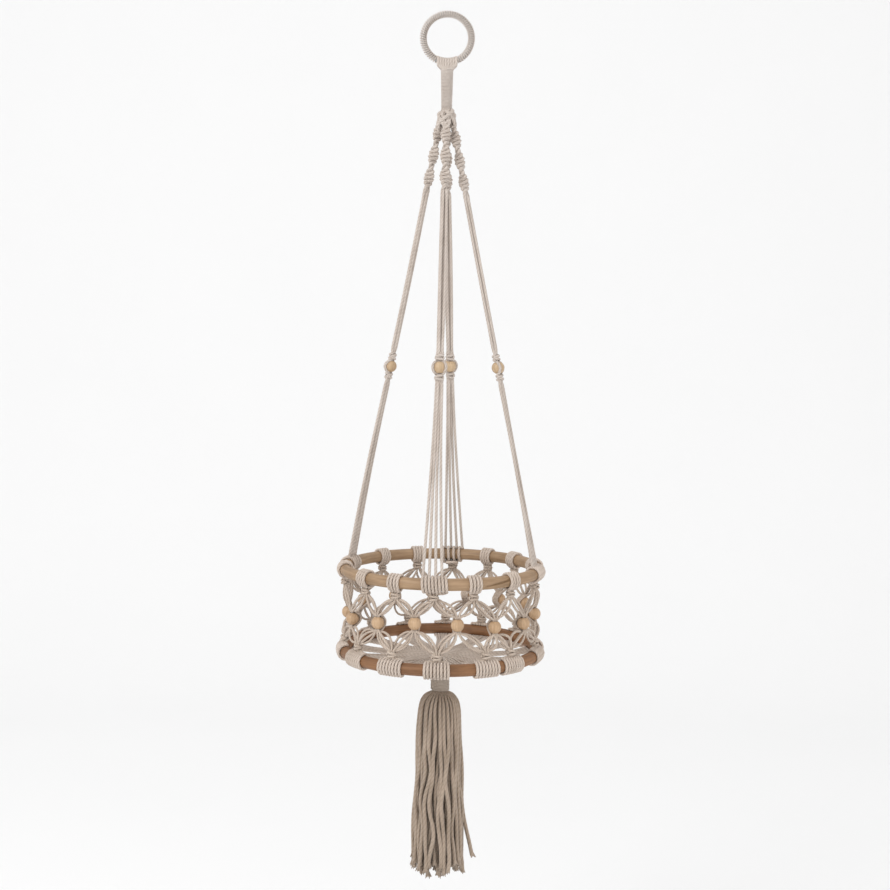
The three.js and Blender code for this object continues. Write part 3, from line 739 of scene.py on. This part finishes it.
def add_bead(name, centre, down, body, node, material):
    """Stands the turned bead at a place with its hole along a direction, with its own cut of the grain."""
    points = bead_surface()
    down = np.array(down) / np.linalg.norm(down)
    side = np.cross([0, 1, 0], down)
    side /= np.linalg.norm(side)
    turned = points @ np.stack([side, np.cross(down, side), down])
    cut = rng.uniform(-0.05, 0.05, 3)
    grain = np.stack([points[..., 2], points[..., 0], points[..., 1]], -1).reshape(-1, 3) * MM + cut
    add_wood(name, turned + centre, grain, material, body, node)


def sinnet_cord(strand, start, end, facing):
    """A strand's points in the spiral. A working cord is an oval helix with three turns to a bulge, whose
    long axis turns half round in each of the three bulges; a cord inside runs straight."""
    if strand in (1, 2):
        along = np.linspace(start, end, 12)
        return np.stack([np.full(12, SINNET_CORE * np.sign(strand - 1.5)), np.zeros(12), along], -1)
    bulge = (end - start) / 3
    along = np.linspace(start, end, 200)
    turned = (0 if strand == 0 else math.pi) - (along - start) * 2 * math.pi / (bulge / 3)
    face = facing + math.pi * (along - start) / bulge
    wide = SINNET_WIDE * np.interp(along, [start, start + 0.5 * bulge, end - 4, end], [0.85, 1.0, 1.0, 0.85])
    flat, deep = wide * np.cos(turned), SINNET_DEEP * np.sin(turned)
    return np.stack([flat * np.cos(face) - deep * np.sin(face), flat * np.sin(face) + deep * np.cos(face),
                     along], -1)


def arm_strands(length, bead_at, start, end, facing):
    """An arm's four strands in its own frame: across, outwards and along (down from the crown), in mm. Its
    spiral runs from start to end; facing turns it about the arm. Also returns the radii along each: a cord
    is fuller where it is worked into the spiral and thinner inside it."""
    lines, radii = [], []
    for strand in range(4):
        offset = strand - 1.5
        top = sinnet_cord(strand, start, end, facing)
        run = np.linspace(end + 7, bead_at - KNOT_REACH - 12, 9)
        slack = np.sin(np.pi * (run - run[0]) / (run[-1] - run[0]))
        lean = rng.uniform(-0.8, 0.8, 2)
        plain = np.stack([offset * (1.85 + 0.45 * slack) + lean[0] * slack,
                          1.3 * (-1) ** strand + lean[1] * slack, run], -1)
        knot_above = KNOT_PARTS[strand] * [1, 1, -1] + [0, 0, bead_at - KNOT_REACH]
        past_bead = BEAD_PARTS[strand] * [1, 1, -1] + [0, 0, bead_at]
        knot_below = KNOT_PARTS[strand] * [1, 1, -1] + [0, 0, bead_at + KNOT_REACH]
        run = np.linspace(bead_at + KNOT_REACH + 12, length, 9)
        share = (run - run[0]) / (run[-1] - run[0])
        lean = rng.uniform(-1.2, 1.2, 2)
        foot = (2 * strand - 3.5) * BAR_PITCH
        fan = np.stack([offset * 2.3 * (1 - share) + foot * share**1.25 + lean[0] * np.sin(np.pi * share),
                        0.9 * (-1) ** strand * (1 - share) + lean[1] * np.sin(np.pi * share), run], -1)
        lines.append(np.concatenate([top, plain, knot_above, past_bead, knot_below, fan]))
        steps = np.linalg.norm(np.diff(lines[-1], axis=0), axis=1)
        knotted = steps[:len(top)].sum() / steps.sum()
        in_sinnet = INNER_RADIUS if strand in (1, 2) else WORKING_RADIUS
        radii.append(np.where(np.linspace(0, 1, 121) < knotted, in_sinnet, PLAIN_RADIUS))
    return lines, radii


bead_at = BEAD_SHARE * ARM_LENGTH
for arm, head in enumerate(ARM_TOP):
    facing = upper_angle[ARM_COLUMNS[arm]]
    foot = round_axis(ARM_FOOT_REACH, facing, ARM_FOOT_LEVEL)
    length = np.linalg.norm(foot - head)
    down = (foot - head) / length
    across = np.array([math.cos(facing), math.sin(facing), 0])
    across = across - down * (across @ down)
    across /= np.linalg.norm(across)
    outward = np.cross(across, down)
    basis = np.stack([across, outward, down])
    # The front and back arms' spirals start a quarter turn round from the side arms'.
    lines, radii = arm_strands(length, bead_at, *SINNET_SPANS[arm], math.pi / 2 * ((arm + 1) % 2))
    lines = [line @ basis + head for line in lines]
    piece, _ = add_cords(f"arm_cords_{arm + 1}", lines, radii, arm_cotton, depth=0.06, body="arms",
                         nodes=[f"arm_{arm + 1}"])
    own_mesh(piece)
    add_bead(f"arm_wood_bead_{arm + 1}", head + down * bead_at, -down, "arm_beads", f"arm_bead_{arm + 1}",
             arm_bead_wood)

# --- Hoops -----------------------------------------------------------------------------------------
# Two hoops bent from round cane, each closed by a long slanting scarf joint. The upper one is paler; the
# lower one is redder and darker. Low nodes show where leaves once grew.
HOOP_RADIUS, CANE_RADIUS = 115.0, 6.8
UPPER_HOOP, LOWER_HOOP = -660.68, -756.68
SLIT_HALF_LENGTH, SLIT_DEPTH = 19, 3.4
SLIT_HALF_WIDTH, SLIT_LIE, SLIT_SLANT = 0.17, 0.12, 0.030  # in radians round the cane; the slant is per mm


def half_turn(angle):
    """The same angles, brought within half a turn either way of 0."""
    return np.mod(angle + math.pi, 2 * math.pi) - math.pi


def add_hoop(name, level, body, node, material, nodes_at, scarf_at):
    """A cane ring: a circle carried round a level circle, a little uneven. At each node it has a hump and a
    dip beside it, both bell curves. A slit of bell section, deepest at its middle, slants across the outside
    where the scarf joint's two faces meet."""
    a, b = ring_grid(420, 72)
    thick = CANE_RADIUS * (1 + 0.012 * np.sin(3 * a + 1) + 0.008 * np.sin(7 * a))
    for at in nodes_at:
        off = half_turn(a - at) * HOOP_RADIUS
        thick = thick + 0.28 * np.exp(-(off / 1.6) ** 2) - 0.18 * np.exp(-((off - 3.4) / 1.4) ** 2)
    off = half_turn(a - scarf_at) * HOOP_RADIUS
    lie = half_turn(b) + SLIT_LIE - SLIT_SLANT * off
    parted = np.clip(1 - (off / SLIT_HALF_LENGTH) ** 2, 0, 1)
    thick = thick - SLIT_DEPTH * np.sqrt(parted) * np.exp(-(lie / SLIT_HALF_WIDTH) ** 2)
    points = round_axis(HOOP_RADIUS + thick * np.cos(b), a, level + thick * np.sin(b))
    grain = np.stack([a * HOOP_RADIUS, thick * np.cos(b), thick * np.sin(b)], -1).reshape(-1, 3) * MM
    grain[:, 0] += level * MM
    add_wood(name, points, grain, material, body, node)


pale_cane = wood("pale_cane", (0.42, 0.275, 0.16), (0.21, 0.125, 0.06), 0.58, coat=0.1)
dark_cane = wood("dark_cane", (0.285, 0.137, 0.057), (0.13, 0.055, 0.02), 0.62, coat=0.05)
add_hoop("upper_cane_hoop", UPPER_HOOP, "upper_hoop", "upper_hoop", pale_cane,
         (-0.75, 1.9, 3.4, 4.6), math.radians(32))
add_hoop("lower_cane_hoop", LOWER_HOOP, "lower_hoop", "lower_hoop", dark_cane,
         (-0.12, 1.2, 2.7, 4.1), math.radians(196))

# --- Knots on the upper hoop -----------------------------------------------------------------------
# At ten places four cords lie folded over the cane and are tied together right under it. At the four arms
# each strand is tied on with a double half hitch, two turns side by side, and two more cords are looped
# through underneath. So eight strands hang from every place.
KNOT_TOP_LEVEL = -670.6  # where the strands pass into the net's first knots
COIL_RADIUS = CANE_RADIUS + CORD_RADIUS
STRANDS = 8
hitch_cotton = cotton("hitch_cotton", (0.715, 0.61, 0.53), (0.375, 0.29, 0.22), groove_shade=0.45)
# Where the eight strands stand in a knot under the hoop, across and outwards: the two workers at the ends,
# the six cords that they tie between them.
KNOT_PLACES = np.array([[-4.3, 0.3], [-3.0, 1.3], [-2.6, -1.4], [-0.2, 1.4], [0.2, -1.4], [2.6, 1.4],
                        [3.0, -1.3], [4.3, -0.3]])
FOLD_SPACING = 3.7  # from one folded cord on the cane to the next


def on_hoop(angle, across, outward, level):
    """Places of points given along a hoop, outwards from its middle line and by height, about an angle."""
    return round_axis(HOOP_RADIUS + outward, angle + across / HOOP_RADIUS, level)


def folded_cord(angle, across, front, back):
    """One cord over the upper cane: from a place in the knot up its outside, over it and down its inside to
    another place in the knot. Its turn about the cane runs from below, past the outside, to below again."""
    turn = np.radians([-72, -40, 0, 45, 90, 135, 180, 220, 252])
    reach = COIL_RADIUS + np.array([0.7, 0, 0, 0, 0, 0, 0, 0, 0.7])
    x = across * np.array([0.86, 0.97, 1, 1, 1, 1, 1, 0.97, 0.86])
    x = np.concatenate([[KNOT_PLACES[front, 0]], x, [KNOT_PLACES[back, 0]]])
    out = np.concatenate([[KNOT_PLACES[front, 1]], reach * np.cos(turn), [KNOT_PLACES[back, 1]]])
    up = np.concatenate([[KNOT_TOP_LEVEL - UPPER_HOOP], reach * np.sin(turn), [KNOT_TOP_LEVEL - UPPER_HOOP]])
    return on_hoop(angle, x, out, UPPER_HOOP + up)


def half_hitches(first_bar, start_turn, turns, shift):
    """A cord's turns round the cane, turns degrees in all: the angle round it falls evenly while the cord
    goes along by shift for each whole turn. Returns across, outwards and up from the cane's middle."""
    turn = np.linspace(0, turns, int(turns / 20) + 1)
    x = first_bar + shift * turn / 360
    angle = np.radians(start_turn - turn)
    return x, COIL_RADIUS * np.cos(angle), COIL_RADIUS * np.sin(angle)


def hitched_strand(angle, strand, place):
    """One of an arm's strands: down over the cane, twice round it, and in behind to its place in the knot."""
    x, out, up = half_hitches((2 * strand - 3.5) * BAR_PITCH, 100, 550, BAR_PITCH)
    to_x, to_out = KNOT_PLACES[place]
    x = np.concatenate([x, [x[-1] * 0.62 + to_x * 0.38, to_x]])
    out = np.concatenate([out, [-2.6 + 1.2 * (strand % 2), to_out]])
    up = np.concatenate([up, [-9.4 - 0.8 * (strand % 2), KNOT_TOP_LEVEL - UPPER_HOOP]])
    return on_hoop(angle, x, out, UPPER_HOOP + up)


def looped_cord(angle, left, right, aside, inward):
    """A cord looped through behind the hitch, with both its ends in the knot; the two lie clear of each
    other by going aside and inward."""
    loop = np.array([[-5.2, -3.4], [-4.6, -6.6], [4.6, -6.8], [5.2, -3.6]]) + [aside, -inward]
    x, out = np.concatenate([KNOT_PLACES[[left]], loop, KNOT_PLACES[[right]]]).T
    return on_hoop(angle, x, out, UPPER_HOOP + np.array([-9.9, -11.2, -9.8, -9.8, -11.2, -9.9]))


plain_columns = [column for column in range(COLUMNS) if column not in ARM_COLUMNS]
for column, angle in enumerate(upper_angle):
    if column in ARM_COLUMNS:
        lines = [hitched_strand(angle, strand, place) for strand, place in enumerate((0, 3, 5, 7))]
        lines += [looped_cord(angle, 1, 4, -1.2, 0), looped_cord(angle, 2, 6, 1.2, 1.6)]
        node = f"arm_hitch_{ARM_COLUMNS.index(column) + 1}"
    else:
        jitter = rng.uniform(-0.15, 0.15, 4)
        lines = [folded_cord(angle, (number - 1.5) * FOLD_SPACING + jitter[number], front, back)
                 for number, (front, back) in enumerate(((0, 2), (1, 4), (3, 6), (5, 7)))]
        node = f"larks_head_{plain_columns.index(column) + 1:02d}"
    add_cords(f"{node}_cords", lines, CORD_RADIUS, hitch_cotton, body="upper_hoop", nodes=[node])

# --- Knots on the lower hoop, and the base ----------------------------------------------------------
# Every strand of the net goes over the lower cane and round it, and then runs in level to the middle in a
# flat bundle. All hundred and twelve pile up there, make the seat for the pot and turn down into the tassel.
SPOKE_PITCH = 2.35  # from one strand of a flat bundle to the next
SPOKE_RADII = [CORD_RADIUS] * 6 + [1.6, 1.45] + [1.35] * 9 + [1.1, 0.9]  # squeezed thinner towards the middle
# The strands of a bundle lie in two layers by turns: how far out and how high, from the cane to the tassel.
SPOKE_LAYERS = (
    np.array([[102, -763.2], [88, -764.2], [68, -764.6], [48, -764.4], [34, -764.0], [23, -764.0],
              [14, -764.6], [7.2, -767.0], [4.6, -771], [4.2, -776]]),
    np.array([[102, -763.4], [88, -764.6], [68, -765.4], [48, -766.0], [34, -766.6], [25, -767.4],
              [17, -768.2], [11.0, -770.4], [8.6, -774], [8.2, -778]]),
)


def base_strand(column, strand):
    """One strand of the net, over the lower cane and round it, then in to the middle beside its neighbours."""
    x, out, up = half_hitches((strand - 3.5) * BAR_PITCH, 105, 240, 0.0)
    x = x + rng.uniform(-0.15, 0.15)
    wound = on_hoop(lower_angle[column], x, out, LOWER_HOOP + up)
    reach, level = SPOKE_LAYERS[strand % 2].T
    start = lower_angle[column] + x[-1] / HOOP_RADIUS
    beside = np.clip((strand - 3.5) * SPOKE_PITCH / reach, -0.2, 0.2) + rng.uniform(-0.012, 0.012)
    beside = beside + even_angle[column]
    turned = beside + (start - beside) * np.interp(reach, [72, 110], [0, 1]) ** 1.4
    return np.concatenate([wound, round_axis(reach, turned, level + rng.uniform(-0.3, 0.1))])


for column in range(COLUMNS):
    lines = [base_strand(column, strand) for strand in range(STRANDS)]
    add_cords(f"lower_hitch_cords_{column + 1:02d}", lines, SPOKE_RADII, hitch_cotton, step=1.5,
              body="lower_hoop", nodes=[f"lower_hitch_{column + 1:02d}"], sides=9)

# --- Net and its beads -----------------------------------------------------------------------------
# The eight strands of each place are square-knotted under the upper hoop and part four and four to the
# beads between the columns. At each bead eight meet: four run through its hole and four pass behind it.
# Then they come back to a knot above the lower hoop.
BEAD_LEVEL = -710.62
WAIST_RADIUS = 112.0
TOP_KNOT, BOTTOM_KNOT = -675.4, -742.0
net_cotton = cotton("net_cotton", (0.665, 0.56, 0.47), (0.34, 0.255, 0.19), groove_shade=0.4)
net_bead_wood = wood("net_bead_wood", (0.60, 0.41, 0.25), (0.34, 0.205, 0.105), 0.5, coat=0.15)
BEAD_LIFT = np.array([4, -1, -3.5, -2.5, 1, -2, 0, 2, -1, 1, -5, -3, 1, 5])  # over the beads' mean level
following = np.roll(np.stack([upper_angle, lower_angle]), -1, axis=1)
following[:, -1] += 2 * math.pi
bead_angle = (upper_angle + lower_angle + following.sum(axis=0)) / 4
# The arms' square knot, widened to tie eight strands: its two workers.
WIDE_FRONT = FRONT_WORKER * [1.2, 1.3, 0.9]
WIDE_BACK = BACK_WORKER * [1.2, 1.3, 0.9]
# The eight strands at a bead gather over it and under it in two rows of four. The front row runs through
# the bead and the back row passes behind it. These are the places, across and outwards, of the four strands
# that come from the bead's left, the uppermost first; those from its right are mirrored.
GATHERED = ((-1.35, 1.5), (-1.4, -1.4), (-4.0, 1.2), (-4.2, -1.5))
BOWS = (3.9, 1.4, -1.5, -4.2)  # how far each strand stands off a straight run between knot and bead


def waist(level):
    """How far the net stands from the axis: drawn in a little at the beads' height."""
    share = np.clip(1 - np.abs(level - BEAD_LEVEL) / 32, 0, 1)
    return HOOP_RADIUS - (HOOP_RADIUS - WAIST_RADIUS) * share**0.7


def in_knot(strand, across, middle):
    """A strand's points, from above to below, in a knot whose middle lies across from the even place."""
    x, out = KNOT_PLACES[strand]
    points = np.array([[x, out, 4.6], [0.86 * x, out, 0], [x, out, -4.6]])
    if strand == 0:
        points = WIDE_FRONT
    if strand == STRANDS - 1:
        points = WIDE_BACK
    return points + [across, 0, middle]


def bowed_run(start, end, bow, puff):
    """Places on a run from start to end (across, outwards, up): a straight line, pushed off by bow times
    sin(pi t) at right angles to it in the net's own surface, and by puff times sin(pi t) outwards."""
    share = np.array([[0.14], [0.3], [0.5], [0.7], [0.86]])
    step = end - start
    aside = np.array([math.copysign(abs(step[2]), step[0]), 0, -math.copysign(abs(step[0]), step[2])])
    swell = np.sin(math.pi * share) ** 0.8
    return start + step * share + (bow * aside / np.linalg.norm(step) + [0, puff, 0]) * swell


def net_cord(column, strand):
    """One strand of the net, from its top knot past a bead to its bottom knot. Strands 0 to 3 go left and 4
    to 7 right. Rows are places across from the even column, outwards from the net and up. A strand that
    stands forward in its row (out above 0) runs through the bead; the others pass behind it."""
    right = strand > 3
    order = STRANDS - 1 - strand if right else strand  # 0 is the uppermost of the four, 3 hangs lowest
    bead = column if right else (column - 1) % COLUMNS
    middle = even_angle[column]
    to_bead = half_turn(bead_angle[bead] - middle) * HOOP_RADIUS
    top, bottom = ((angle[column] - middle) * HOOP_RADIUS for angle in (upper_angle, lower_angle))
    x, out = np.array(GATHERED[order]) * [1 if right else -1, 1]
    if out > 0:
        past = np.array([[x, out, 9.6], [0.55 * x, 0.6, 7.7], [0.4 * x, 0, 6], [0.3 * x, 0, 0],
                         [0.4 * x, 0, -6], [0.55 * x, 0.6, -7.7], [x, out, -9.6]])
    else:
        past = np.array([[x, out, 9.6], [0.95 * x, -4.2, 7.4], [0.85 * x, -8.9, 2.5], [0.85 * x, -8.9, -2.5],
                         [0.95 * x, -4.2, -7.4], [x, out, -9.6]])
    past = past + [to_bead, 0, BEAD_LEVEL + BEAD_LIFT[bead]]
    above, below = in_knot(strand, top, TOP_KNOT), in_knot(strand, bottom, BOTTOM_KNOT)
    bow = BOWS[order] * rng.uniform(0.6, 1.35, 2) + rng.uniform(-1.2, 1.2, 2)
    puff = rng.uniform(-1.2, 3.6, 2)
    upper_run = bowed_run(above[-1], past[0], bow[0], puff[0])
    lower_run = bowed_run(below[0], past[-1], 1.25 * bow[1], puff[1])[::-1]
    end = [[bottom + (strand - 3.5) * BAR_PITCH, -1.4, LOWER_HOOP + COIL_RADIUS + 0.2]]
    rows = np.concatenate([above, upper_run, past, lower_run, below, end])
    return round_axis(waist(rows[:, 2]) + rows[:, 1], middle + rows[:, 0] / HOOP_RADIUS, rows[:, 2])


# The cords are squeezed a little thinner in the knots and at the beads than on their runs between.
NET_RADII = np.interp(np.linspace(0, 1, 61), [0, 0.1, 0.18, 0.3, 0.38, 0.62, 0.70, 0.82, 0.90, 1],
                      [1.35, 1.35, 1.5, 1.5, 1.35, 1.35, 1.5, 1.5, 1.35, 1.5])
for number, (first, last) in enumerate(((0, COLUMNS // 2), (COLUMNS // 2, COLUMNS))):
    lines = [net_cord(column, strand) for column in range(first, last) for strand in range(STRANDS)]
    piece, _ = add_cords(f"net_cords_{number + 1}", lines, NET_RADII, net_cotton, step=1.25,
                         body="upper_hoop", nodes=["net"] if number == 0 else (), sides=9)
    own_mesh(piece)
for column, angle in enumerate(bead_angle):
    centre = round_axis(WAIST_RADIUS, angle, BEAD_LEVEL + BEAD_LIFT[column])
    add_bead(f"net_wood_bead_{column + 1:02d}", centre, (0.02 * rng.uniform(-1, 1), 0.02, 1), "net_beads",
             f"net_bead_{column + 1:02d}", net_bead_wood)
